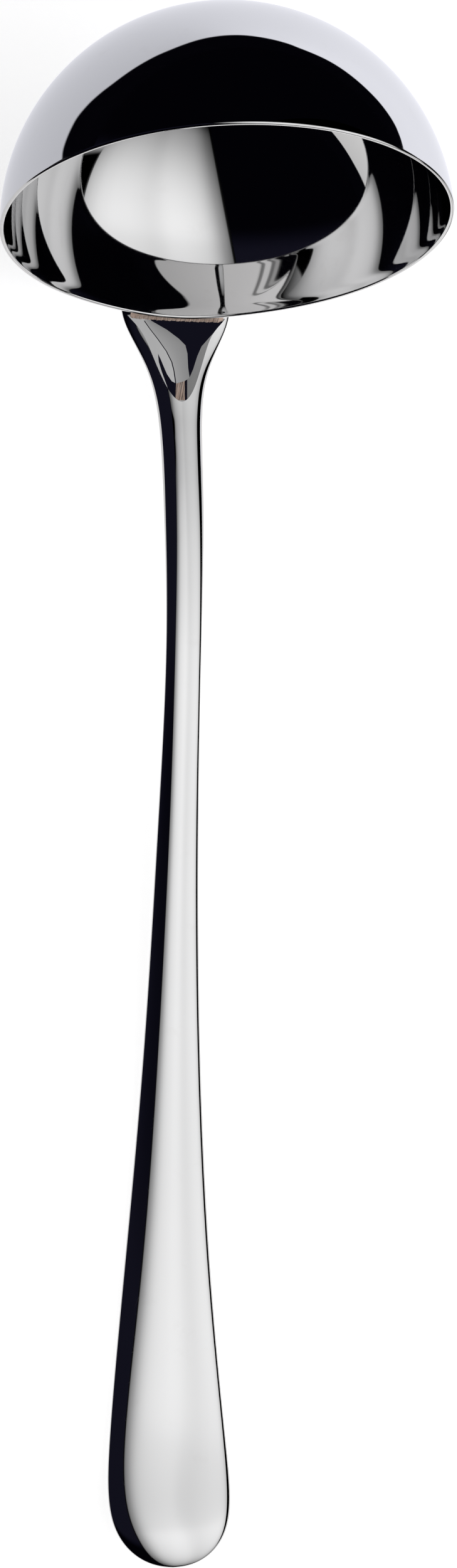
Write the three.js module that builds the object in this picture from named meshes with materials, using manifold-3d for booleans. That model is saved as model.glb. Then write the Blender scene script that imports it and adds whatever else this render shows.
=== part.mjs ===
// Soup ladle: a pressed hemispherical bowl, a forged S-curved handle whose flared root
// laps the outside of the bowl, and the copper braze that joins the two.
//
// Millimetres, +Z up. The ladle lies on its back on a table at z = 0. It is symmetrical
// about the plane x = 0, with the bowl at +Y and the handle running towards -Y.
//
// Each piece is drawn in the bowl's own frame: the bowl's axis is Y, the mouth is the
// plane y = 0 and the handle is on the -Z side. One turn about X then lays the ladle down.
import * as THREE from "three";
import { NURBSCurve } from "three/addons/curves/NURBSCurve.js";
import { mergeVertices } from "three/addons/utils/BufferGeometryUtils.js";
import Module from "manifold-3d";

// Bowl
const BOWL_DIAMETER = 90; // outside, at the mouth
const BOWL_DEPTH = 43.7; // outside, from the mouth to the bottom
const BOWL_WALL = 0.9;

// Handle
const HANDLE_REACH = 248; // from the mouth to the grip's tip
const HANDLE_RISE = 58.3; // grip's centre line, outside the bowl's wall
const ROOT_LAP = 13; // down the bowl's wall
const ROOT_RISE = 2.6; // root's centre line at the mouth, outside the bowl's wall
const ROOT_WIDTH = 24.3;
const NECK_WIDTH = 8.4;
const NECK_THICKNESS = 6.6;
const GRIP_WIDTH = 27;
const GRIP_THICKNESS = 4.8;
const HANDLE_ROUNDNESS = 1.8; // exponent of the cross-section: 2 is an ellipse, less has keener sides

// Control stations of the forging, from the hidden end of the root to the grip's tip, as shares
// of the sizes that lead them: distance in front of the mouth, centre line's distance outside the
// bowl's wall, width, and depths of the section before and behind the centre line.
const HANDLE_STATIONS = [
  ...stations(ROOT_LAP, ROOT_RISE, ROOT_WIDTH, NECK_THICKNESS, [
    [-1, -1.35, 0, 0, 0],
    [-1, -0.77, 0.66, 0.3, 0.3],
    [-0.46, 0.35, 1, 0.42, 0.42],
  ]),
  ...stations(HANDLE_REACH, ROOT_RISE, ROOT_WIDTH, NECK_THICKNESS, [
    [0.004, 1.025, 0.935, 0.212, 0.4],
    [0.04, 1.035, 0.516, 0.333, 0.42],
  ]),
  ...stations(HANDLE_REACH, ROOT_RISE, NECK_WIDTH, NECK_THICKNESS, [
    [0.085, 0.877, 1, 0.318, 0.49],
    [0.165, 0.955, 1.025, 0.31, 0.49],
  ]),
  ...stations(HANDLE_REACH, HANDLE_RISE, NECK_WIDTH, NECK_THICKNESS, [
    [0.278, 0.142, 0.81, 0.136, 0.42],
    [0.423, 0.398, 1.015, 0.242, 0.36],
  ]),
  ...stations(HANDLE_REACH, HANDLE_RISE, GRIP_WIDTH, GRIP_THICKNESS, [
    [0.593, 0.645, 0.422, 0.354, 0.46],
    [0.762, 0.886, 0.659, 0.49, 0.42],
    [0.907, 1.007, 0.926, 0.44, 0.4],
    [0.976, 0.998, 0.996, 0.69, 0.38],
    [1, 0.998, 0.398, 0.165, 0.23],
    [1, 1, 0, 0, 0],
  ]),
];

// Scoop ground across the front of the root: flat at the bowl, then rising on a radius until it
// runs out where the neck crowns
const SCOOP_STEP = 1.5; // behind the bowl's wall
const SCOOP_FLAT = 4.5; // from the rim
const SCOOP_RADIUS = 93;

// Braze between the bowl's wall and the root
const BRAZE_FILM = 0.3;
const BRAZE_INSET = 0.8; // in from the root's outline
const BRAZE_REACH = 2; // thickest, where the straight root stands off the round bowl
const BRAZE_LENGTH = 9; // down the wall from the mouth
const BRAZE_RISE = 1; // fillet that shows in front of the mouth
const FIT_GAP = 0.1; // between neighbouring pieces

// Facets
const BOWL_SIDES = 72;
const BOWL_RINGS = 18;
const RIM_STEPS = 4;
const HANDLE_SIDES = 32;
const HANDLE_RINGS = 76;
const SCOOP_STEPS = 24;

// Sizes that follow
const BOWL_RADIUS = BOWL_DIAMETER / 2;
const RIM_RADIUS = BOWL_WALL / 2;
const SPHERE_RADIUS = (BOWL_RADIUS ** 2 + BOWL_DEPTH ** 2) / (2 * BOWL_DEPTH);
const SPHERE_Y = BOWL_DEPTH - SPHERE_RADIUS;
const SEAT_RADIUS = SPHERE_RADIUS + FIT_GAP + BRAZE_FILM + FIT_GAP;

function stations(reach, rise, width, thickness, shares) {
  return shares.map(([along, out, across, crown, back]) => ({
    along: along * reach,
    out: out * rise,
    width: across * width,
    crown: crown * thickness,
    back: back * thickness,
  }));
}

const wasm = await Module();
wasm.setup();

function toSolid(geometry) {
  const plain = geometry.clone();
  plain.deleteAttribute("normal");
  plain.deleteAttribute("uv");
  const merged = mergeVertices(plain);
  const corners = merged.index.array;
  const triVerts = [];
  for (let i = 0; i < corners.length; i += 3) {
    const triangle = corners.slice(i, i + 3);
    const collapsed = new Set(triangle).size < 3;
    if (!collapsed) triVerts.push(...triangle);
  }
  const mesh = new wasm.Mesh({
    numProp: 3,
    vertProperties: merged.attributes.position.array,
    triVerts: new Uint32Array(triVerts),
  });
  return new wasm.Manifold(mesh);
}

function toGeometry(solid) {
  const mesh = solid.getMesh();
  const geometry = new THREE.BufferGeometry();
  geometry.setAttribute("position", new THREE.BufferAttribute(mesh.vertProperties, 3));
  geometry.setIndex(new THREE.BufferAttribute(mesh.triVerts, 1));
  geometry.computeVertexNormals();
  return geometry;
}

// Points of a sphere's profile about the bowl's axis, from polar angle start to end.
function sphereArc(radius, start, end, steps) {
  const points = [];
  for (let i = 0; i <= steps; i++) {
    const angle = start + ((end - start) * i) / steps;
    points.push(new THREE.Vector2(radius * Math.sin(angle), SPHERE_Y + radius * Math.cos(angle)));
  }
  return points;
}

// Polar angle at which a sphere about the bowl's centre passes a given height.
function angleAt(radius, y) {
  return Math.acos(THREE.MathUtils.clamp((y - SPHERE_Y) / radius, -1, 1));
}

function revolve(profile) {
  return new THREE.LatheGeometry(profile, BOWL_SIDES);
}

// The bowl's shell, with a rim rounded to the full wall.
function bowlGeometry() {
  const middle = SPHERE_RADIUS - RIM_RADIUS;
  const rimAngle = angleAt(middle, RIM_RADIUS);
  const outside = sphereArc(SPHERE_RADIUS, 0, rimAngle, BOWL_RINGS);
  const inside = sphereArc(SPHERE_RADIUS - BOWL_WALL, rimAngle, 0, BOWL_RINGS);
  const centre = sphereArc(middle, rimAngle, rimAngle, 1)[0];
  const rim = [];
  for (let i = 1; i < RIM_STEPS; i++) {
    const turn = rimAngle + (Math.PI * i) / RIM_STEPS;
    const offset = new THREE.Vector2(Math.sin(turn), Math.cos(turn)).multiplyScalar(RIM_RADIUS);
    rim.push(offset.add(centre));
  }
  const profile = [...outside, ...rim, ...inside];
  return revolve(profile.reverse());
}

// The space inside a sphere up to the mouth, less a margin: the root is hollowed by it to sit on
// the bowl.
function seatCutter(margin) {
  const radius = SEAT_RADIUS - margin;
  const rim = angleAt(radius, margin);
  const profile = [new THREE.Vector2(0, margin), ...sphereArc(radius, rim, 0, BOWL_RINGS)];
  return toSolid(revolve(profile));
}

// A smooth curve led by one value of each station.
function stationCurve(toPoint) {
  const degree = 3;
  const points = HANDLE_STATIONS.map((station) => new THREE.Vector4(...toPoint(station), 1));
  const spans = points.length - degree;
  const inner = Array.from({ length: spans - 1 }, (_, i) => (i + 1) / spans);
  const ends = [0, 1].map((knot) => Array(degree + 1).fill(knot));
  return new NURBSCurve(degree, [...ends[0], ...inner, ...ends[1]], points);
}

const spine = stationCurve((s) => [0, -s.along, -(BOWL_RADIUS + s.out)]);
const form = stationCurve((s) => [s.width / 2, s.crown, s.back]);

// Rings of the loft lie close together at both ends, where the forging rounds off.
function ringParameter(ring) {
  const even = ring / HANDLE_RINGS;
  const crowding = 0.85;
  return even - (crowding * Math.sin(2 * Math.PI * even)) / (2 * Math.PI);
}

// A loft along the handle through rounded sections square to its centre line. The section's half
// width and its depths before and behind the centre line come from the forging's own there.
function handleLoft(section) {
  const across = new THREE.Vector3(1, 0, 0);
  const squareness = 2 / HANDLE_ROUNDNESS;
  const bend = (value) => Math.sign(value) * Math.abs(value) ** squareness;
  const positions = [];
  const faces = [];
  for (let ring = 0; ring <= HANDLE_RINGS; ring++) {
    const t = ringParameter(ring);
    const centre = spine.getPoint(t);
    const tangent = spine.getTangent(t);
    const back = new THREE.Vector3().crossVectors(across, tangent).normalize();
    const size = form.getPoint(t);
    const [halfWidth, depthBefore, depthBehind] = section(size.x, size.y, size.z);
    for (let side = 0; side < HANDLE_SIDES; side++) {
      const turn = (2 * Math.PI * (side + 0.5)) / HANDLE_SIDES;
      const depth = turn < Math.PI ? depthBehind : depthBefore;
      const point = centre.clone();
      point.addScaledVector(across, halfWidth * bend(Math.cos(turn)));
      point.addScaledVector(back, depth * bend(Math.sin(turn)));
      positions.push(point.x, point.y, point.z);
    }
  }
  const index = (ring, side) => ring * HANDLE_SIDES + (side % HANDLE_SIDES);
  for (let ring = 0; ring < HANDLE_RINGS; ring++) {
    for (let side = 0; side < HANDLE_SIDES; side++) {
      const [a, b] = [index(ring, side), index(ring, side + 1)];
      const [c, d] = [index(ring + 1, side + 1), index(ring + 1, side)];
      faces.push(a, c, b, a, d, c);
    }
  }
  for (const [ring, order] of [[0, 1], [HANDLE_RINGS, -1]]) {
    for (let side = 1; side < HANDLE_SIDES - 1; side++) {
      const fan = [index(ring, 0), index(ring, side), index(ring, side + 1)];
      faces.push(...(order > 0 ? fan : fan.reverse()));
    }
  }
  const geometry = new THREE.BufferGeometry();
  geometry.setAttribute("position", new THREE.Float32BufferAttribute(positions, 3));
  geometry.setIndex(faces);
  return toSolid(geometry);
}

// Everything in front of the ground scoop, from the rim to past the neck.
function scoopCutter(margin) {
  const floor = BOWL_RADIUS + SCOOP_STEP - margin;
  const lowest = 1.5 * Math.PI;
  const sweep = Math.PI / 6;
  const outline = new THREE.Shape();
  outline.moveTo(0, 0);
  outline.lineTo(0, -floor);
  outline.absarc(-SCOOP_FLAT, SCOOP_RADIUS - floor, SCOOP_RADIUS, lowest, lowest - sweep, true);
  outline.closePath();
  const cutter = new THREE.ExtrudeGeometry(outline, {
    depth: BOWL_DIAMETER,
    bevelEnabled: false,
    curveSegments: SCOOP_STEPS,
  });
  cutter.translate(0, 0, -BOWL_RADIUS);
  const [x, y, z] = [0, 1, 2].map((axis) => new THREE.Vector3().setComponent(axis, 1));
  cutter.applyMatrix4(new THREE.Matrix4().makeBasis(y, z, x));
  cutter.translate(0, RIM_RADIUS - margin, 0);
  return toSolid(cutter);
}

// The finished handle, or the same with a clearance of margin all round.
function handleSolid(margin) {
  const forging = handleLoft((...sizes) => sizes.map((size) => size + margin));
  return forging.subtract(scoopCutter(margin)).subtract(seatCutter(margin));
}

// The braze fills the root's seat and rises as a fillet against the ground scoop.
function brazeSolid() {
  const inner = SPHERE_RADIUS + FIT_GAP;
  const outer = inner + BRAZE_REACH;
  const bottom = angleAt(inner, BRAZE_LENGTH);
  const top = angleAt(inner, RIM_RADIUS);
  const fillet = new THREE.Vector2(BOWL_RADIUS + FIT_GAP + BRAZE_RISE, -BRAZE_RISE / 2);
  const profile = [
    ...sphereArc(inner, bottom, top, BOWL_RINGS),
    fillet,
    ...sphereArc(outer, top, bottom, BOWL_RINGS),
  ];
  profile.push(profile[0].clone());
  const ring = toSolid(revolve(profile));
  const outline = handleLoft((halfWidth) => [Math.max(halfWidth - BRAZE_INSET, 0), BOWL_RADIUS, 0]);
  return ring.intersect(outline).subtract(handleSolid(FIT_GAP));
}

const steel = { color: 0xd9dadc, roughness: 0.08, metalness: 1 };
const copper = { color: 0xc9a08a, roughness: 0.45, metalness: 1 };

function piece(name, solid, look) {
  const mesh = new THREE.Mesh(toGeometry(solid), new THREE.MeshStandardMaterial(look));
  mesh.name = name;
  return mesh;
}

const bowl = piece("bowl", toSolid(bowlGeometry()), steel);
const handle = piece("handle", handleSolid(0), steel);
const braze = piece("braze", brazeSolid(), copper);

// Lying down, the ladle touches the table at two places in its plane of symmetry: the longest
// side of its outline's lower hull joins them.
function restingTurn(mesh) {
  const vertices = mesh.geometry.attributes.position;
  const points = [];
  for (let i = 0; i < vertices.count; i++) {
    points.push(new THREE.Vector2(vertices.getY(i), vertices.getZ(i)));
  }
  points.sort((a, b) => a.x - b.x || a.y - b.y);
  const hull = [];
  for (const point of points) {
    while (hull.length > 1) {
      const last = hull.at(-1).clone().sub(hull.at(-2));
      const next = point.clone().sub(hull.at(-2));
      if (last.cross(next) > 0) break;
      hull.pop();
    }
    hull.push(point);
  }
  const sides = hull.slice(1).map((point, i) => point.clone().sub(hull[i]));
  const longest = sides.reduce((a, b) => (b.length() > a.length() ? b : a));
  return -longest.angle();
}

const ladle = new THREE.Group();
ladle.add(bowl, handle, braze);
ladle.rotation.x = restingTurn(handle);
const box = new THREE.Box3().setFromObject(ladle, true);
ladle.position.set(0, -(box.min.y + box.max.y) / 2, -box.min.z);

const part = new THREE.Group();
part.add(ladle);

export default part;
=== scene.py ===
import math

import bmesh
import bpy
import numpy as np
from mathutils import Matrix, Vector
from mathutils.kdtree import KDTree


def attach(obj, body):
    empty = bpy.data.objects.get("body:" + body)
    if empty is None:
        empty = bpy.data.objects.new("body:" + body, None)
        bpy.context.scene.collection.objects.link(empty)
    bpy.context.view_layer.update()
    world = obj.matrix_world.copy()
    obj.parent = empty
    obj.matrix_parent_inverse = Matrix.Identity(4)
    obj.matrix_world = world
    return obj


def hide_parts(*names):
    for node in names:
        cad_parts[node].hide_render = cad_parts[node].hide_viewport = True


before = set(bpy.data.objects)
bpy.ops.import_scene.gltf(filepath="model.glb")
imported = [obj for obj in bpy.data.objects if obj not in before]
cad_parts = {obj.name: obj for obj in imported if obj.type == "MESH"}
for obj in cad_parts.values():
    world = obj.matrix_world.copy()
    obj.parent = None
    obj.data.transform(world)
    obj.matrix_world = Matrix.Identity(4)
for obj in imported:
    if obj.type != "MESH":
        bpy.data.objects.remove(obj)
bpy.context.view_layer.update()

MM = 0.001

# The bowl, in millimetres in its own frame, as in the CAD source: its axis is Y, the mouth is
# the plane y = 0 and the handle is on the -Z side.
BOWL_RADIUS = 45.0
BOWL_DEPTH = 43.7
BOWL_WALL = 0.9
RIM_RADIUS = BOWL_WALL / 2
SPHERE_RADIUS = (BOWL_RADIUS ** 2 + BOWL_DEPTH ** 2) / (2 * BOWL_DEPTH)
SPHERE_Y = BOWL_DEPTH - SPHERE_RADIUS
SEAT_GAP = 0.5  # the film of filler and the clearances on both sides of it
SEAT_RADIUS = SPHERE_RADIUS + SEAT_GAP

HANDLE_REACH = 248.0
HANDLE_RISE = 58.3
ROOT_LAP = 13.0
ROOT_RISE = 2.6
ROOT_WIDTH = 24.3
NECK_WIDTH = 8.4
NECK_THICKNESS = 6.6
GRIP_WIDTH = 27.0
GRIP_THICKNESS = 4.8


def stations(reach, rise, width, thickness, shares):
    return [np.multiply(row, (reach, rise, width, thickness, thickness)) for row in shares]


# The handle's control stations: along, out, width, depth before and behind the centre line
HANDLE_STATIONS = np.array(
    stations(ROOT_LAP, ROOT_RISE, ROOT_WIDTH, NECK_THICKNESS, (
        (-1, -1.35, 0, 0, 0),
        (-1, -0.77, 0.66, 0.3, 0.3),
        (-0.46, 0.35, 1, 0.42, 0.42),
    ))
    + stations(HANDLE_REACH, ROOT_RISE, ROOT_WIDTH, NECK_THICKNESS, (
        (0.004, 1.025, 0.935, 0.212, 0.4),
        (0.04, 1.035, 0.516, 0.333, 0.42),
    ))
    + stations(HANDLE_REACH, ROOT_RISE, NECK_WIDTH, NECK_THICKNESS, (
        (0.085, 0.877, 1, 0.318, 0.49),
        (0.165, 0.955, 1.025, 0.31, 0.49),
    ))
    + stations(HANDLE_REACH, HANDLE_RISE, NECK_WIDTH, NECK_THICKNESS, (
        (0.278, 0.142, 0.81, 0.136, 0.42),
        (0.423, 0.398, 1.015, 0.242, 0.36),
    ))
    + stations(HANDLE_REACH, HANDLE_RISE, GRIP_WIDTH, GRIP_THICKNESS, (
        (0.593, 0.645, 0.422, 0.354, 0.46),
        (0.762, 0.886, 0.659, 0.49, 0.42),
        (0.907, 1.007, 0.926, 0.44, 0.4),
        (0.976, 0.998, 0.996, 0.69, 0.38),
        (1, 0.998, 0.398, 0.165, 0.23),
        (1, 1, 0, 0, 0),
    ))
)
HANDLE_ROUNDNESS = 1.8
SCOOP_STEP = 1.5
SCOOP_FLAT = 4.5
SCOOP_FLOOR = BOWL_RADIUS + SCOOP_STEP
SCOOP_TURN = SCOOP_FLAT - RIM_RADIUS
SCOOP_RADIUS = 93.0
SCOOP_LENGTH = 40.0

# Polish of the root and the neck: how far it leans off the drawn surface, in radians, by distance
# in front of the mouth in millimetres
NECK_LEAN = (
    (0.0, -0.13), (19.0, -0.13), (23.0, -0.1), (27.0, -0.085), (31.0, -0.055), (36.0, -0.02), (42.0, 0.0))

# Facets of the ground scoop: corners across and in front of the mouth, in millimetres, and the
# slopes across and along of the way each faces
GROUND_LINE = (
    (-6.68, 0.77), (-5.62, 2.45), (-3.97, 4.78), (-2.34, 7.39), (-1.35, 9.79), (-0.99, 11.97),
    (-0.85, 14.73))
GROUND_RIDGE = (
    (-5.29, 0.7), (-2.1, 2.55), (0.33, 4.43), (1.64, 5.84), (1.97, 7.72), (1.92, 11.0), (2.07, 13.2))
GROUND_SIDE = ((2.96, 11.22), (4.03, 8.16), (5.04, 5.94), (6.93, 3.7))
LINE_END, RIDGE_END = GROUND_LINE[-1], GROUND_RIDGE[-1]
END_TOP, SLIVER_TOP = (1.01, 14.03), (1.54, 13.64)
END_LEFT, END_RIGHT, SLIVER_RIGHT = (-1.36, 18.7), (0.65, 18.6), (1.15, 18.6)
LINE_WIDTH = 0.22
TO_DARK = (-0.46, -0.09)
TO_FILLER = (0.0, 1.13)
FACET_LEFT = (-0.183, -0.077)
FACET_MIDDLE = ((-0.199, -0.0753), (-0.2252, -0.0741))
FACET_RIGHT = (-0.2356, -0.0715)
FACETS = (
    ((END_TOP, SLIVER_TOP, SLIVER_RIGHT, END_RIGHT), TO_DARK),
    ((LINE_END, END_TOP, END_RIGHT, END_LEFT), TO_FILLER),
    (((-4.26, 8.03), (-3.82, 9.09), (-2.66, 12.6), (-1.77, 14.22), LINE_END, END_LEFT, (-2.2, 18.7),
      (-2.8, 15.6), (-3.75, 12.0), (-4.2, 9.9)), TO_DARK),
    (GROUND_RIDGE + GROUND_SIDE + ((9.87, 0.48), (9.87, -1.0), (-6.5, -1.0)), TO_DARK),
    (GROUND_SIDE[::-1] + (RIDGE_END, SLIVER_TOP, SLIVER_RIGHT, (6.0, 18.7), (9.0, 3.7)), FACET_RIGHT),
    (GROUND_LINE + tuple((x - LINE_WIDTH, a) for x, a in GROUND_LINE[::-1]), TO_DARK),
)

# How near a face has to lie to a cutter to be taken as its cut, and the marks the cuts get
SCOOP_NEAR = 0.002
SEAT_NEAR = 0.02
LEVEL_NEAR = 0.02
SCOOP_MARK = 1
SEAT_MARK = 2

# Where the ladle lies in the row frame
LAY_TURN = -0.2474751908
LAY_SHIFT = (0.0, 111.0129977, 48.56061905)

# Fineness of the dressed pieces, and how far rings crowd at the bowl's rim and the handle's ends
BOWL_SIDES = 384
BOWL_RINGS = 110
RIM_STEPS = 20
RIM_CROWDING = 1.8
HANDLE_SIDES = 176
HANDLE_RINGS = 640
END_CROWDING = 0.85
SCOOP_STEPS = 80
SEAT_RINGS = 48
SEAT_SIDES = 200
WELD = 1e-8  # in metres

# The bowl's lip stands further forward at the handle, and polishing has eased its inner edge
LIP_FORWARD = 0.75
LIP_WIDTH = 10.0
LIP_BLEND = 8.0
LIP_EASE = 0.2
LIP_DEPTH = 1.2

# Braze fillet: its length and round ends, how far its face stands in front of the mouth, the ripple
# of its edge (height, radians per millimetre, start), and how it comes off the wall at the left
BRAZE_STEPS = 240
FILLET_STEPS = 12
BRAZE_HALF = 9.7
BRAZE_TAPER = 0.7
BRAZE_FRONT = 0.12
BRAZE_END = -0.1
BRAZE_FOOT = -0.13
BRAZE_BACK = -0.43
BRAZE_OFF_WALL = 0.2
BRAZE_BEHIND = 0.1
BRAZE_OVERLAP = 0.01
LIP_FOLLOWED = 0.5
RIPPLES = ((0.05, 3.1, 0.4), (0.04, 7.3, 0.0), (0.03, 13.7, 1.1))
LOOSE_FROM = 4.5
LOOSE_OVER = 5.0
LOOSE_POWER = 1.5
LOOSE_STEP = 0.9
FILLET_ALONG = 0.45
FILLET_OUT = 0.62

# Braze film in the seat: how far it runs behind the mouth, and its outline against the handle's
FILM_REACH = 16
FILM_INSET = 0.12
FILM_CROWN = 9.0
FILM_BACK = 0.3


def lay(points):
    """Millimetres in the bowl's frame to metres in the row frame."""
    x, y, z = np.asarray(points, float).reshape(-1, 3).T
    c, s = math.cos(LAY_TURN), math.sin(LAY_TURN)
    turned = np.column_stack((x, c * y - s * z, s * y + c * z))
    return (turned + LAY_SHIFT) * MM


def unlay(points):
    """Metres in the row frame to millimetres in the bowl's frame."""
    x, y, z = (np.asarray(points, float).reshape(-1, 3) / MM - LAY_SHIFT).T
    c, s = math.cos(LAY_TURN), math.sin(LAY_TURN)
    return np.column_stack((x, c * y + s * z, c * z - s * y))


def mesh_object(name, points, faces):
    mesh = bpy.data.meshes.new(name)
    mesh.from_pydata(lay(points).tolist(), [], faces)
    mesh.validate()
    made = bpy.data.objects.new(name, mesh)
    bpy.context.scene.collection.objects.link(made)
    return made


def face_outwards(made):
    work = bmesh.new()
    work.from_mesh(made.data)
    bmesh.ops.remove_doubles(work, verts=work.verts, dist=WELD)
    bmesh.ops.recalc_face_normals(work, faces=work.faces)
    work.to_mesh(made.data)
    work.free()
    return made


def ring_faces(rings, sides):
    """Quads between closed rings of points, ring after ring."""
    faces = []
    for r in range(rings - 1):
        for s in range(sides):
            n = (s + 1) % sides
            faces.append((r * sides + s, r * sides + n, (r + 1) * sides + n, (r + 1) * sides + s))
    return faces


def on_sphere(radius, angle):
    """Points (distance from the axis, y) of a sphere about the bowl's centre, by angle off the axis."""
    return np.column_stack((radius * np.sin(angle), SPHERE_Y + radius * np.cos(angle)))


def sphere_arc(radius, start, end, steps):
    return on_sphere(radius, np.linspace(start, end, steps + 1))


def angle_at(radius, y):
    return math.acos((y - SPHERE_Y) / radius)


def revolve(name, profile, sides, forward=0.0):
    """A profile of (distance from the axis, y) turned about the bowl's axis, with a lip forward."""
    turn = np.arange(sides) * 2 * math.pi / sides
    points = np.empty((len(profile), sides, 3))
    points[:, :, 0] = profile[:, :1] * np.sin(turn)
    points[:, :, 1] = profile[:, 1:]
    points[:, :, 2] = profile[:, :1] * np.cos(turn)
    near = np.exp(-(points[:, :, 0] / LIP_WIDTH) ** 2 / 2 - np.maximum(points[:, :, 1], 0) / LIP_BLEND)
    points[:, :, 1] -= np.where(points[:, :, 2] < 0, forward * near, 0)
    return face_outwards(mesh_object(name, points, ring_faces(len(profile), sides)))


def bowl_profile():
    """From the pole along the outside, round the rim and back along the inside."""
    middle = SPHERE_RADIUS - RIM_RADIUS
    rim_angle = angle_at(middle, RIM_RADIUS)
    share = 1 - np.linspace(1, 0, BOWL_RINGS + 1) ** RIM_CROWDING
    outside = on_sphere(SPHERE_RADIUS, share * rim_angle)
    inside = on_sphere(SPHERE_RADIUS - BOWL_WALL, share[::-1] * rim_angle)
    inside[:, 0] += LIP_EASE * np.exp(-(inside[:, 1] / LIP_DEPTH) ** 2)
    turn = rim_angle + math.pi * np.arange(1, RIM_STEPS) / RIM_STEPS
    rim = on_sphere(middle, rim_angle) + RIM_RADIUS * np.column_stack((np.sin(turn), np.cos(turn)))
    return np.vstack((outside, rim, inside))


def spline(values, t):
    """A clamped uniform cubic B-spline through control values, and its slope."""
    values = np.asarray(values, float)
    spans = len(values) - 3
    knots = np.concatenate((np.zeros(3), np.linspace(0, 1, spans + 1), np.ones(3)))
    t = np.clip(t, 0, 1 - 1e-12)

    def basis(degree):
        if degree == 0:
            return ((t[:, None] >= knots[:-1]) & (t[:, None] < knots[1:])).astype(float)
        lower = basis(degree - 1)
        width = knots[degree:] - knots[:-degree]
        scale = np.where(width > 0, 1 / np.where(width > 0, width, 1), 0)
        rise = (t[:, None] - knots[: -degree - 1]) * scale[:-1]
        fall = (knots[degree + 1:] - t[:, None]) * scale[1:]
        return rise * lower[:, :-1] + fall * lower[:, 1:]

    point = basis(3) @ values
    width = knots[4:-1] - knots[1:-4]
    slope = basis(2)[:, 1:-1] @ (3 * np.diff(values, axis=0) / width[:, None])
    return point, slope


def handle_loft(name, section):
    """The forging, or a loft along it with other half widths and depths before and behind."""
    even = np.linspace(0, 1, HANDLE_RINGS + 1)
    t = even - END_CROWDING * np.sin(2 * math.pi * even) / (2 * math.pi)
    along, out, width, crown, back = HANDLE_STATIONS.T
    centre, slope = spline(np.column_stack((-along, -(BOWL_RADIUS + out))), t)
    tangent = slope / np.linalg.norm(slope, axis=1)[:, None]
    size, _ = spline(np.column_stack((width / 2, crown, back)), t)
    half, before, behind = section(*size.T)
    turn = 2 * math.pi * (np.arange(HANDLE_SIDES) + 0.5) / HANDLE_SIDES
    power = 2 / HANDLE_ROUNDNESS
    across = np.sign(np.cos(turn)) * np.abs(np.cos(turn)) ** power
    depth = np.sign(np.sin(turn)) * np.abs(np.sin(turn)) ** power
    reach = np.where(np.sin(turn) > 0, behind[:, None], before[:, None]) * depth
    points = np.empty((len(t), HANDLE_SIDES, 3))
    points[:, :, 0] = half[:, None] * across
    points[:, :, 1] = centre[:, :1] - reach * tangent[:, 1:]
    points[:, :, 2] = centre[:, 1:] + reach * tangent[:, :1]
    faces = ring_faces(len(t), HANDLE_SIDES)
    last = HANDLE_RINGS * HANDLE_SIDES
    faces.append(tuple(range(HANDLE_SIDES)))
    faces.append(tuple(range(last, last + HANDLE_SIDES)))
    return face_outwards(mesh_object(name, points, faces))


def scoop_depth(along):
    """Distance of the ground scoop's floor from the bowl's axis."""
    past = np.maximum(along - SCOOP_TURN, 0)
    return SCOOP_FLOOR - SCOOP_RADIUS + np.sqrt(SCOOP_RADIUS ** 2 - past ** 2)


def scoop_cutter():
    """Everything in front of the ground scoop, from the rim to past the neck."""
    along = np.linspace(-RIM_RADIUS, SCOOP_LENGTH, SCOOP_STEPS + 1)
    outline = [(0.0, -RIM_RADIUS)] + list(zip(scoop_depth(along), along))
    wide = BOWL_RADIUS
    points = [(x, -a, -q) for x in (-wide, wide) for q, a in outline]
    count = len(outline)
    faces = [(i, (i + 1) % count, count + (i + 1) % count, count + i) for i in range(count)]
    faces += [tuple(range(count)), tuple(range(count, 2 * count))]
    return face_outwards(mesh_object("scoop_cutter", points, faces))


def seat_cutter():
    arc = sphere_arc(SEAT_RADIUS, angle_at(SEAT_RADIUS, 0), 0, SEAT_RINGS)
    return revolve("seat_cutter", np.vstack(([(0, 0)], arc)), SEAT_SIDES)


def carve(made, other, operation):
    """A boolean of two solids, kept as a plain mesh; the other one is used up."""
    step = made.modifiers.new(operation.lower(), "BOOLEAN")
    step.operation = operation
    step.object = other
    step.solver = "EXACT"
    graph = bpy.context.evaluated_depsgraph_get()
    mesh = bpy.data.meshes.new_from_object(made.evaluated_get(graph))
    made.modifiers.clear()
    old = made.data
    made.data = mesh
    mesh.name = made.name
    bpy.data.meshes.remove(old)
    spent = other.data
    bpy.data.objects.remove(other)
    bpy.data.meshes.remove(spent)
    return made


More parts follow.
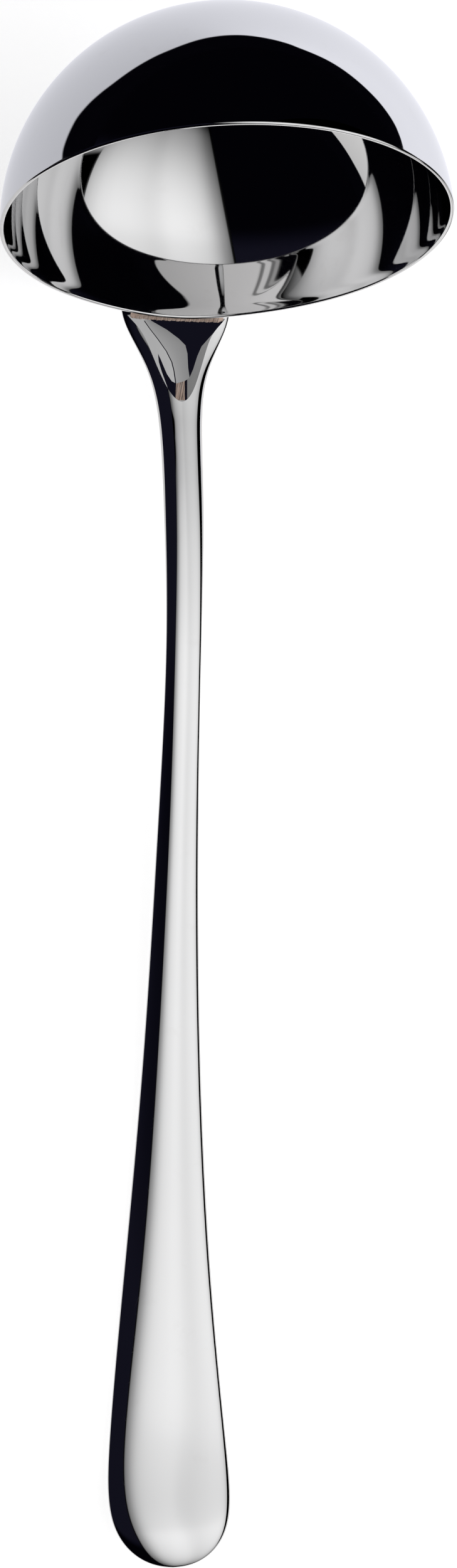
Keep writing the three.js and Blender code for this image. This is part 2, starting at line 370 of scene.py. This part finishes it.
def mark_ground(made):
    """Smooth all over, with a true edge where the ground faces meet the forging, and facet borders."""
    work = bmesh.new()
    work.from_mesh(made.data)
    middles = unlay([f.calc_center_median() for f in work.faces])
    along, depth = -middles[:, 1], -middles[:, 2]
    level = np.abs([f.normal.x for f in work.faces]) < LEVEL_NEAR
    cut = (along > -RIM_RADIUS) & (along < SCOOP_LENGTH)
    off = np.abs(depth - scoop_depth(np.where(cut, along, 0)))
    from_centre = np.linalg.norm(middles - (0, SPHERE_Y, 0), axis=1)
    seat = (np.abs(from_centre - SEAT_RADIUS) < SEAT_NEAR) & (along < 0)
    scoop = (off < SCOOP_NEAR) & cut & level
    ground = work.faces.layers.int.new("ground")
    for face, mark in zip(work.faces, np.where(scoop, SCOOP_MARK, np.where(seat, SEAT_MARK, 0))):
        face[ground] = int(mark)
        face.smooth = True
    for edge in work.edges:
        edge.smooth = len({f[ground] for f in edge.link_faces}) == 1
    for corners, _ in FACETS:
        for (x, a), (to_x, to_a) in zip(corners, corners[1:] + corners[:1]):
            place, towards = lay([(x, -a, 0), (x + to_a - a, to_x - x - a, 0)])
            faces = [f for f in work.faces if f[ground] == SCOOP_MARK]
            edges = {e for f in faces for e in f.edges}
            verts = {v for f in faces for v in f.verts}
            bmesh.ops.bisect_plane(work, geom=faces + list(edges) + list(verts), dist=WELD,
                                   plane_co=place, plane_no=towards - place)
    work.to_mesh(made.data)
    work.free()


def within(corners, x, along):
    """Which points lie within an outline."""
    found = np.zeros(len(x), bool)
    for (px, pa), (qx, qa) in zip(corners, corners[1:] + corners[:1]):
        crosses = (pa > along) != (qa > along)
        found ^= crosses & (x < px + (qx - px) * (along - pa) / np.where(crosses, qa - pa, 1))
    return found


def polish(made):
    """Leans the normals of the forging's root and neck, and sets those of the scoop's facets."""
    mesh = made.data
    x, y, _ = unlay([v.co for v in mesh.vertices]).T
    corner = np.array([l.vertex_index for l in mesh.loops])
    owner = np.repeat(np.arange(len(mesh.polygons)), [p.loop_total for p in mesh.polygons])
    x, along = x[corner], -y[corner]
    across, ahead, up = np.array([c.vector for c in mesh.corner_normals]).T
    lean = np.interp(along, *zip(*NECK_LEAN))
    c, s = np.cos(lean), np.sin(lean)
    normals = np.column_stack((across, c * ahead + s * up, c * up - s * ahead))

    line_x, line_along = zip(*GROUND_LINE)
    ridge_x, ridge_along = zip(*GROUND_RIDGE)
    left, right = np.interp(along, line_along, line_x), np.interp(along, ridge_along, ridge_x)
    share = np.clip((x - left) / (right - left), 0, 1)
    middle_x, middle_y, _ = unlay([p.center for p in mesh.polygons]).T
    middle_along = -middle_y
    slopes = np.array(FACET_MIDDLE[0]) + share[:, None] * np.subtract(FACET_MIDDLE[1], FACET_MIDDLE[0])
    left_of_line = middle_x < np.interp(middle_along, line_along, line_x)
    slopes[left_of_line[owner]] = FACET_LEFT
    for corners, slope in FACETS[::-1]:
        slopes[within(corners, middle_x, middle_along)[owner]] = slope
    facing = np.column_stack((slopes, np.ones(len(slopes))))
    facing /= np.linalg.norm(facing, axis=1)[:, None]
    ground = np.empty(len(mesh.polygons), int)
    mesh.attributes["ground"].data.foreach_get("value", ground)
    on_scoop = (ground == SCOOP_MARK)[owner][:, None]
    mesh.normals_split_custom_set(np.where(on_scoop, facing, normals).tolist())
    mesh.attributes.remove(mesh.attributes["ground"])


def smooth(made):
    made.data.polygons.foreach_set("use_smooth", [True] * len(made.data.polygons))


def braze_strip():
    """The fillet of filler that shows between the rim and the ground scoop."""
    x = np.linspace(-BRAZE_HALF, BRAZE_HALF, BRAZE_STEPS + 1)
    run = np.sqrt(np.clip((BRAZE_HALF - np.abs(x)) / BRAZE_TAPER, 0, 1))
    ripple = sum(height * np.sin(waves * x + start) for height, waves, start in RIPPLES)
    lip = LIP_FORWARD * np.exp(-(x / LIP_WIDTH) ** 2 / 2)
    front = (BRAZE_FRONT + LIP_FOLLOWED * lip + ripple) * run + BRAZE_END * (1 - run)
    loose = np.clip((-x - LOOSE_FROM) / LOOSE_OVER, 0, 1) ** LOOSE_POWER
    wall = np.sqrt((BOWL_RADIUS + BRAZE_OFF_WALL) ** 2 - x ** 2) + LOOSE_STEP * loose
    floor = scoop_depth(front)
    corner = BRAZE_FOOT + FILLET_ALONG * (front - BRAZE_FOOT), wall + FILLET_OUT * (floor - wall)
    section = [(np.full_like(x, BRAZE_BACK), wall + BRAZE_BEHIND), (np.full_like(x, BRAZE_FOOT), wall)]
    for s in np.linspace(0, 1, FILLET_STEPS + 1)[1:]:
        section.append(tuple((1 - s) ** 2 * p + 2 * s * (1 - s) * q + s ** 2 * r
                             for p, q, r in zip((BRAZE_FOOT, wall), corner, (front, floor))))
    section.append((front, floor + BRAZE_OVERLAP))
    section.append((np.full_like(x, BRAZE_BACK), np.full_like(x, SCOOP_FLOOR + BRAZE_OVERLAP)))
    count = len(section)
    points = np.empty((len(x), count, 3))
    for i, (along, depth) in enumerate(section):
        points[:, i] = np.column_stack((x, -along, -depth))
    last = BRAZE_STEPS * count
    faces = ring_faces(len(x), count)
    faces += [tuple(range(count)), tuple(range(last, last + count))]
    return face_outwards(mesh_object("braze_fillet", points, faces))


def braze_film():
    """The filler in the seat, out to the edge of the root."""
    inner, outer = SPHERE_RADIUS + BRAZE_OVERLAP, SEAT_RADIUS - BRAZE_OVERLAP
    top, bottom = angle_at(inner, RIM_RADIUS), angle_at(inner, FILM_REACH)
    profile = np.vstack((
        sphere_arc(inner, bottom, top, SEAT_RINGS),
        sphere_arc(outer, top, bottom, SEAT_RINGS),
    ))
    film = revolve("braze_film", np.vstack((profile, profile[:1])), SEAT_SIDES)
    outline = handle_loft("braze_outline", lambda half, crown, back: (
        np.maximum(half - FILM_INSET, 0), np.full_like(crown, FILM_CROWN), np.full_like(back, FILM_BACK)))
    return carve(film, outline, "INTERSECT")


def edge_wear(made, reach):
    """Stores how near each point is to a ground edge or to the rim, for the materials."""
    mesh = made.data
    points = unlay([v.co for v in mesh.vertices])
    sharp = {i for e in mesh.edges if e.use_edge_sharp for i in e.vertices}
    if sharp:
        tree = KDTree(len(sharp))
        for i in sharp:
            tree.insert(points[i], i)
        tree.balance()
        distance = np.array([tree.find(p)[2] for p in points])
    else:
        distance = np.clip(points[:, 1], 0, None)
    layer = mesh.attributes.new("wear", "FLOAT", "POINT")
    layer.data.foreach_set("value", np.exp(-distance / reach).astype(np.float32))


# Pieces
BOWL_WEAR = 0.5
HANDLE_WEAR = 0.35

bowl = revolve("bowl_shell", bowl_profile(), BOWL_SIDES, LIP_FORWARD)
smooth(bowl)
edge_wear(bowl, BOWL_WEAR)

handle = handle_loft("handle_forging", lambda *sizes: sizes)
carve(handle, scoop_cutter(), "DIFFERENCE")
carve(handle, seat_cutter(), "DIFFERENCE")
mark_ground(handle)
edge_wear(handle, HANDLE_WEAR)
polish(handle)

braze = carve(braze_strip(), braze_film(), "UNION")
braze.name = "braze_filler"
smooth(braze)


# Node helpers
def link(tree, value, socket):
    if isinstance(value, bpy.types.NodeSocket):
        tree.links.new(value, socket)
    else:
        socket.default_value = value


def node(tree, kind, inputs, **settings):
    made = tree.nodes.new(kind)
    for key, value in settings.items():
        setattr(made, key, value)
    for key, value in inputs.items():
        link(tree, value, made.inputs[key])
    return made


def maths(tree, operation, first, second=0.0):
    return node(tree, "ShaderNodeMath", {0: first, 1: second}, operation=operation).outputs[0]


def product(tree, first, *others):
    for other in others:
        first = maths(tree, "MULTIPLY", first, other)
    return first


def positive(tree, value):
    return maths(tree, "MAXIMUM", value, 0.0)


def coordinates(tree, kind):
    return node(tree, "ShaderNodeTexCoord", {}).outputs[kind]


def axes(tree, vector):
    return node(tree, "ShaderNodeSeparateXYZ", {"Vector": vector}).outputs


def remap(tree, value, low, high, to_low=0.0, to_high=1.0, kind="SMOOTHSTEP"):
    sockets = {"Value": value, "From Min": low, "From Max": high, "To Min": to_low, "To Max": to_high}
    return node(tree, "ShaderNodeMapRange", sockets, interpolation_type=kind).outputs[0]


def noise(tree, vector, scale, detail=2.0, roughness=0.5):
    sockets = {"Vector": vector, "Scale": scale, "Detail": detail, "Roughness": roughness}
    return node(tree, "ShaderNodeTexNoise", sockets).outputs[0]


def stretch(tree, vector, scale, turn=(0.0, 0.0, 0.0)):
    turned = node(tree, "ShaderNodeMapping", {"Vector": vector, "Rotation": turn}).outputs[0]
    return node(tree, "ShaderNodeMapping", {"Vector": turned, "Scale": scale}).outputs[0]


def blend(tree, factor, first, second):
    made = node(tree, "ShaderNodeMix", {0: factor, 6: first, 7: second}, data_type="RGBA")
    return made.outputs[2]


def curve(tree, value, points):
    """A smooth curve through points whose ends are its range."""
    made = node(tree, "ShaderNodeFloatCurve", {"Value": value})
    mapping = made.mapping
    mapping.use_clip = False
    line = mapping.curves[0].points
    while len(line) < len(points):
        line.new(0.5, 0.5)
    for point, place in zip(line, points):
        point.location = place
        point.handle_type = "AUTO_CLAMPED"
    mapping.update()
    return made.outputs[0]


def new_material(name):
    material = bpy.data.materials.new(name)
    material.use_nodes = True
    tree = material.node_tree
    return material, tree, tree.nodes["Principled BSDF"].inputs


def to_bowl_frame(tree, place):
    """The row frame's coordinates turned so that the bowl's axis is Y."""
    centre = Vector(LAY_SHIFT) * MM
    sockets = {"Vector": place, "Center": centre, "Angle": -LAY_TURN}
    return node(tree, "ShaderNodeVectorRotate", sockets, rotation_type="X_AXIS").outputs[0]


# Materials
STEEL_DARKER = (0.64, 0.64, 0.644, 1)
STEEL_LIGHTER = (0.668, 0.667, 0.669, 1)
STEEL_FILM = (0.575, 0.566, 0.558, 1)
STEEL_WORN = (0.72, 0.72, 0.73, 1)
FILM_SHARE = 0.25
WORN_SHARE = 0.5
SMOOTHEST, CLOUDIEST = 0.014, 0.034
ROUGH_LINES, ROUGH_SCRATCHES, ROUGH_WORN = 0.015, 0.05, 0.12
FEW_SCRATCHES = 0.25
GRIP_FROM, GRIP_TO = -0.03, -0.11
SCRATCHES = ((0.35, 1.0), (-0.5, 1.3), (1.2, 1.7))  # turn and scale of each set
SCRATCH_SHAPE = (2600.0, 120.0, 400.0)
SCRATCH_DEPTH = -1.5
WAVE_HEIGHT = 8e-6
LINE_HEIGHT = 4e-8

FILLER_DEEP = (0.86, 0.58, 0.45, 1)
FILLER_PALE = (0.96, 0.78, 0.67, 1)
FILLER_GRAIN = (0.98, 0.89, 0.82, 1)
FILLER_PIT = (0.10, 0.06, 0.05, 1)
FILLER_METAL = 0.35
FILLER_SMOOTHEST, FILLER_ROUGHEST = 0.34, 0.6
MOUTH = LAY_SHIFT[1] * MM
PIT_BAND = 0.4 * MM
PITS_ELSEWHERE = 0.15
PIT_DEPTH = 2.0
FILLER_BUMP = 0.8
FILLER_HEIGHT = 6e-5


def steel(name, grain, grip_wear):
    """Mirror-polished steel: faint waves, polishing lines, handling scratches and worn edges."""
    material, tree, shader = new_material(name)
    place = coordinates(tree, "Object")
    turned = to_bowl_frame(tree, place)

    colour = blend(tree, noise(tree, place, scale=38.0, detail=3.0), STEEL_DARKER, STEEL_LIGHTER)
    film = remap(tree, noise(tree, place, scale=140.0, detail=4.0, roughness=0.6), 0.58, 0.78)
    colour = blend(tree, product(tree, film, FILM_SHARE), colour, STEEL_FILM)
    wear = node(tree, "ShaderNodeAttribute", {}, attribute_name="wear").outputs["Fac"]
    chips = noise(tree, place, scale=900.0, detail=3.0, roughness=0.6)
    worn = product(tree, wear, remap(tree, chips, 0.35, 0.65))
    colour = blend(tree, product(tree, worn, WORN_SHARE), colour, STEEL_WORN)
    link(tree, colour, shader["Base Color"])
    shader["Metallic"].default_value = 1.0

    lines = noise(tree, stretch(tree, turned, grain), scale=1.0, detail=3.0, roughness=0.65)
    cloud = noise(tree, place, scale=70.0, detail=4.0, roughness=0.6)
    amount = FEW_SCRATCHES
    if grip_wear:
        amount = remap(tree, axes(tree, place)["Y"], GRIP_FROM, GRIP_TO, FEW_SCRATCHES, 1.0)
    scratches = 0.0
    for turn, scale in SCRATCHES:
        streak = stretch(tree, place, SCRATCH_SHAPE, (0.0, 0.0, turn))
        streak = remap(tree, noise(tree, streak, scale, detail=1.0), 0.70, 0.76)
        scratches = maths(tree, "ADD", streak, scratches)
    scratches = product(tree, scratches, amount)
    rough = remap(tree, cloud, 0.3, 0.75, SMOOTHEST, CLOUDIEST, "LINEAR")
    rough = maths(tree, "ADD", rough, product(tree, remap(tree, lines, 0.6, 0.8), ROUGH_LINES))
    rough = maths(tree, "ADD", rough, product(tree, scratches, ROUGH_SCRATCHES))
    rough = maths(tree, "ADD", rough, product(tree, worn, ROUGH_WORN))
    link(tree, rough, shader["Roughness"])

    waves = noise(tree, place, scale=55.0, detail=1.0)
    bump = node(tree, "ShaderNodeBump", {"Height": waves, "Strength": 1.0, "Distance": WAVE_HEIGHT})
    fine = maths(tree, "ADD", lines, product(tree, scratches, SCRATCH_DEPTH))
    fine_bump = node(tree, "ShaderNodeBump", {
        "Height": fine, "Strength": 1.0, "Distance": LINE_HEIGHT, "Normal": bump.outputs[0]})
    link(tree, fine_bump.outputs[0], shader["Normal"])
    return material


def copper(name):
    """Brazing filler as it set: pinkish, matt, grainy, with pits along its free edge."""
    material, tree, shader = new_material(name)
    place = coordinates(tree, "Object")
    grain = noise(tree, place, scale=2600.0, detail=4.0, roughness=0.65)
    patch = noise(tree, place, scale=520.0, detail=3.0, roughness=0.6)
    colour = blend(tree, patch, FILLER_DEEP, FILLER_PALE)
    colour = blend(tree, remap(tree, grain, 0.45, 0.75), colour, FILLER_GRAIN)
    cells = node(tree, "ShaderNodeTexVoronoi", {"Vector": place, "Scale": 1500.0}).outputs["Distance"]
    along = axes(tree, to_bowl_frame(tree, place))["Y"]
    edge = remap(tree, along, MOUTH, MOUTH - PIT_BAND)
    pit = product(tree, remap(tree, cells, 0.28, 0.12), remap(tree, patch, 0.4, 0.6),
                  maths(tree, "ADD", edge, PITS_ELSEWHERE))
    colour = blend(tree, pit, colour, FILLER_PIT)
    link(tree, colour, shader["Base Color"])
    shader["Metallic"].default_value = FILLER_METAL
    rough = remap(tree, grain, 0.3, 0.7, FILLER_SMOOTHEST, FILLER_ROUGHEST, "LINEAR")
    link(tree, rough, shader["Roughness"])
    height = maths(tree, "SUBTRACT", maths(tree, "ADD", grain, patch), product(tree, pit, PIT_DEPTH))
    bump = node(tree, "ShaderNodeBump", {
        "Height": height, "Strength": FILLER_BUMP, "Distance": FILLER_HEIGHT})
    link(tree, bump.outputs[0], shader["Normal"])
    return material


BOWL_GRAIN = (12.0, 2600.0, 12.0)
HANDLE_GRAIN = (2200.0, 22.0, 2200.0)

bowl.data.materials.append(steel("bowl_polished_steel", BOWL_GRAIN, False))
handle.data.materials.append(steel("handle_polished_steel", HANDLE_GRAIN, True))
braze.data.materials.clear()
braze.data.materials.append(copper("braze_copper_filler"))

DRESSED = (
    (bowl, "bowl", "bowl_steel"),
    (handle, "handle", "handle_steel"),
    (braze, "braze", "braze_copper"),
)
for piece, cad_node, slot in DRESSED:
    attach(piece, "root")
    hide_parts(cad_node)

# Camera
CAMERA_AT = Vector((-226.682, -78.847, 1010.655)) * MM
CAMERA_RIGHT = Vector((0.972956381, 0.006926780, 0.230885038))
CAMERA_BACK = Vector((-0.229620435, -0.079638875, 0.970016549))
LENS = 116.34
SENSOR = 36.0

camera_data = bpy.data.cameras.new("camera")
camera_data.lens = LENS
camera_data.sensor_width = SENSOR
camera = bpy.data.objects.new("camera", camera_data)
bpy.context.scene.collection.objects.link(camera)
up = CAMERA_BACK.cross(CAMERA_RIGHT)
turn = Matrix((CAMERA_RIGHT, up, CAMERA_BACK)).transposed().to_4x4()
camera.matrix_world = Matrix.Translation(CAMERA_AT) @ turn
bpy.context.scene.camera = camera

# Stage: a white table in a dark room, with one large softbox to the camera's right
WHITE = (1, 1, 1, 1)
FLOOR_HALF = 3.0
FLOOR_COLOUR = (0.9, 0.9, 0.9, 1)
FLOOR_GLOW = 0.76
BOX_LEVEL = 1.22

# The room the metal sees: near black, and bluer to the left. Each pair is where the blue begins and
# is full, in parts of a unit vector to the left, forward and back.
ROOM_DARK = (0.001, 0.0009, 0.0022, 1)
ROOM_LEFT = (0.0085, 0.0083, 0.0165, 1)
LEFT_WAY = (-0.1, -0.22)
FORWARD_WAY = (-0.22, 0.04)
BACK_WAY = (0.6, 0.4)

# Painted reflection, shown to glossy rays only: how far the polished metal sees the white table behind the
# bowl, by bearing in half turns, and the table's painted falloff of light from left to right
TABLE_CENTRE = 0.11
TABLE_END = (
    (0.0, 2.0), (0.1, 1.4), (0.14, 0.85), (0.158, 0.66), (0.176, 0.55), (0.199, 0.49), (0.222, 0.485),
    (0.26, 0.506), (0.323, 0.52), (0.369, 0.55), (0.395, 0.51), (0.435, 0.465), (0.48, 0.42),
    (0.526, 0.41), (0.58, 0.425), (0.62, 0.4), (0.664, 0.364), (0.701, 0.326), (0.735, 0.276),
    (0.765, 0.243), (0.8, 0.225), (0.849, 0.23), (0.88, 0.255), (1.0, 0.27))
TABLE_FADE = (1.0, 0.92)
PAINTED_TABLE_FALLOFF = ((-0.3, 0.57), (-0.08, 0.62), (0.02, 0.78), (0.1, 0.86), (0.2, 0.91), (0.4, 0.91))
TABLE_TINT = (0.985, 0.993, 1.068, 1)
MEETING = 0.03  # half the band in which the table and the strip pass into each other

# Painted reflection of a white strip under the handle, with painted dark lines in its brightness: its left
# edge, which steps aside near the bowl, its brightness to the right, where it is wider towards the grip,
# and a dim field far to the right
STRIP_HALF = 0.075
STRIP_FADE = (-0.012, 0.004)
STRIP_ASIDE = ((-0.13, -0.07), 0.06)
STRIP_WIDER = ((-0.13, -0.33), 0.4)
STRIP_RIGHT = (
    (0.0, 1.0), (0.064, 1.0), (0.07, 0.3), (0.076, 0.3), (0.084, 0.95), (0.103, 0.85), (0.114, 0.25),
    (0.124, 0.3), (0.14, 0.5), (0.16, 0.2), (0.2, 0.0), (0.3, 0.0))
STRIP_LEVEL = 1.05
STRIP_TINT = (1.0, 0.99, 0.985, 1)
FAR_RIGHT = ((0.35, 0.0), (0.65, 0.07), (0.85, 0.14), (1.6, 0.25), (3.0, 0.28))
FAR_AHEAD = (-0.3, -0.6)

# The softbox's plane runs from its left edge, beside the camera, down to the right. Its cloth has
# a slanting left end, brightness across and along, and a skirt below its right end.
BOX_LEFT = Vector((-0.25, 0.11, 1.0))
BOX_RIGHT = Vector((0.95, 0.11, 0.36))
BOX_CORNERS = ((0.43, -1.8, 0), (2.1, -1.8, 0), (2.1, 0.7, 0), (-0.227, 0.7, 0))
CLOTH_SLANT = 0.2626
CLOTH_ACROSS = (
    (-0.06, 0.0), (-0.022, 0.01), (-0.006, 0.19), (0.03, 0.3), (0.075, 0.4), (0.14, 0.6), (0.207, 0.79),
    (0.27, 0.9), (0.384, 0.985), (0.473, 1.01), (0.518, 1.0), (0.606, 0.92), (0.65, 0.905), (0.74, 0.94),
    (0.834, 0.975), (0.935, 0.98), (1.05, 0.94), (1.115, 0.9), (1.186, 0.82), (1.266, 0.72),
    (1.335, 0.6), (1.35, 0.5), (1.365, 0.05), (1.39, 0.0))
CLOTH_ALONG = (
    (-1.7, 0.0), (-1.39, 0.27), (-0.95, 0.5), (-0.67, 0.71), (-0.46, 0.89), (-0.29, 1.0), (-0.16, 1.04),
    (0.0, 0.92), (0.13, 0.84), (0.26, 0.74), (0.39, 0.52), (0.42, 0.45), (0.44, 0.0))
SKIRT_ACROSS = ((1.0, 0.0), (1.15, 0.6), (1.35, 0.6), (1.6, 0.5), (1.9, 0.3), (2.1, 0.15))
SKIRT_ALONG = (-0.66, -0.76)


def plane(name, corners):
    mesh = bpy.data.meshes.new(name)
    mesh.from_pydata(corners, [], [(0, 1, 2, 3)])
    made = bpy.data.objects.new(name, mesh)
    bpy.context.scene.collection.objects.link(made)
    return made


def stage_material(name):
    material, tree, _ = new_material(name)
    tree.nodes.clear()
    return material, tree


def emission(tree, colour, strength):
    return node(tree, "ShaderNodeEmission", {"Color": colour, "Strength": strength}).outputs[0]


def painted_table_reflection(tree):
    """Painted reflection: the table's painted light and shade as the polished metal sees it, by place."""
    x, y, _ = axes(tree, node(tree, "ShaderNodeNewGeometry", {}).outputs["Position"])
    ahead = maths(tree, "SUBTRACT", y, TABLE_CENTRE)
    bearing = maths(tree, "DIVIDE", maths(tree, "ARCTAN2", ahead, x), math.pi)
    reach = maths(tree, "SQRT", maths(tree, "ADD", maths(tree, "POWER", x, 2.0),
                                      maths(tree, "POWER", ahead, 2.0)))
    reached = maths(tree, "DIVIDE", reach, curve(tree, bearing, TABLE_END))
    behind_bowl = product(tree, remap(tree, reached, *TABLE_FADE), remap(tree, ahead, -MEETING, 0.0))

    (near, far), step = STRIP_ASIDE
    leftward = maths(tree, "ADD", x, remap(tree, ahead, near, far, 0.0, step))
    left_edge = remap(tree, leftward, *(fade - STRIP_HALF for fade in STRIP_FADE))
    (near, far), step = STRIP_WIDER
    rightward = maths(tree, "SUBTRACT", x, remap(tree, ahead, near, far, 0.0, step))
    right_edge = positive(tree, curve(tree, rightward, STRIP_RIGHT))
    beside_handle = product(tree, left_edge, right_edge, remap(tree, ahead, MEETING, 0.0))

    level = product(tree, curve(tree, x, PAINTED_TABLE_FALLOFF),
                    remap(tree, ahead, -MEETING, MEETING, STRIP_LEVEL, 1.0),
                    maths(tree, "MAXIMUM", behind_bowl, beside_handle))
    far_right = product(tree, curve(tree, x, FAR_RIGHT), remap(tree, ahead, *FAR_AHEAD))
    level = maths(tree, "MAXIMUM", level, far_right)
    tint = blend(tree, remap(tree, ahead, -MEETING, MEETING), STRIP_TINT, TABLE_TINT)
    return blend(tree, level, ROOM_DARK, tint)


def cloth_level(tree):
    """The softbox's brightness by place on its plane."""
    x, y, _ = axes(tree, coordinates(tree, "Object"))
    slant = maths(tree, "ADD", x, product(tree, y, CLOTH_SLANT))
    along = positive(tree, curve(tree, y, CLOTH_ALONG))
    cloth = product(tree, positive(tree, curve(tree, slant, CLOTH_ACROSS)), along)
    skirt = product(tree, positive(tree, curve(tree, x, SKIRT_ACROSS)), remap(tree, y, *SKIRT_ALONG), along)
    return maths(tree, "MAXIMUM", cloth, skirt)


def room_colour(tree):
    """The room's colour by way out of the stage."""
    x, y, _ = axes(tree, coordinates(tree, "Generated"))
    beside = product(tree, remap(tree, y, *FORWARD_WAY), remap(tree, y, *BACK_WAY))
    to_left = product(tree, beside, remap(tree, x, *LEFT_WAY))
    return blend(tree, to_left, ROOM_DARK, ROOM_LEFT)


floor = plane("floor", [(x * FLOOR_HALF, y * FLOOR_HALF, 0)
                        for x, y in ((-1, -1), (1, -1), (1, 1), (-1, 1))])
floor_material, tree = stage_material("floor_white_painted_table_light")
# Glossy rays see the floor as emission painted with a reflection of light and shade; other rays see it
# evenly lit and white
painted_reflection = emission(tree, painted_table_reflection(tree), BOX_LEVEL)
matt = node(tree, "ShaderNodeBsdfDiffuse", {"Color": FLOOR_COLOUR}).outputs[0]
lit = node(tree, "ShaderNodeAddShader", {0: matt, 1: emission(tree, WHITE, FLOOR_GLOW)}).outputs[0]
ray = node(tree, "ShaderNodeLightPath", {}).outputs
final = node(tree, "ShaderNodeMixShader", {0: ray["Is Glossy Ray"], 1: lit, 2: painted_reflection}).outputs[0]
node(tree, "ShaderNodeOutputMaterial", {"Surface": final})
floor.data.materials.append(floor_material)

across = (BOX_RIGHT - BOX_LEFT).normalized()
along = Vector((0, 1, 0))
box_turn = Matrix((across, along, across.cross(along))).transposed().to_4x4()
softbox = plane("softbox", BOX_CORNERS)
softbox.matrix_world = Matrix.Translation(BOX_LEFT) @ box_turn
softbox.visible_camera = False
box_material, tree = stage_material("softbox_cloth")
cloth_light = emission(tree, WHITE, product(tree, cloth_level(tree), BOX_LEVEL))
node(tree, "ShaderNodeOutputMaterial", {"Surface": cloth_light})
softbox.data.materials.append(box_material)

world = bpy.data.worlds.new("studio")
bpy.context.scene.world = world
world.use_nodes = True
tree = world.node_tree
ray = node(tree, "ShaderNodeLightPath", {}).outputs
seen = blend(tree, ray["Is Camera Ray"], room_colour(tree), WHITE)
link(tree, seen, tree.nodes["Background"].inputs["Color"])

bpy.context.scene.view_settings.view_transform = "Standard"
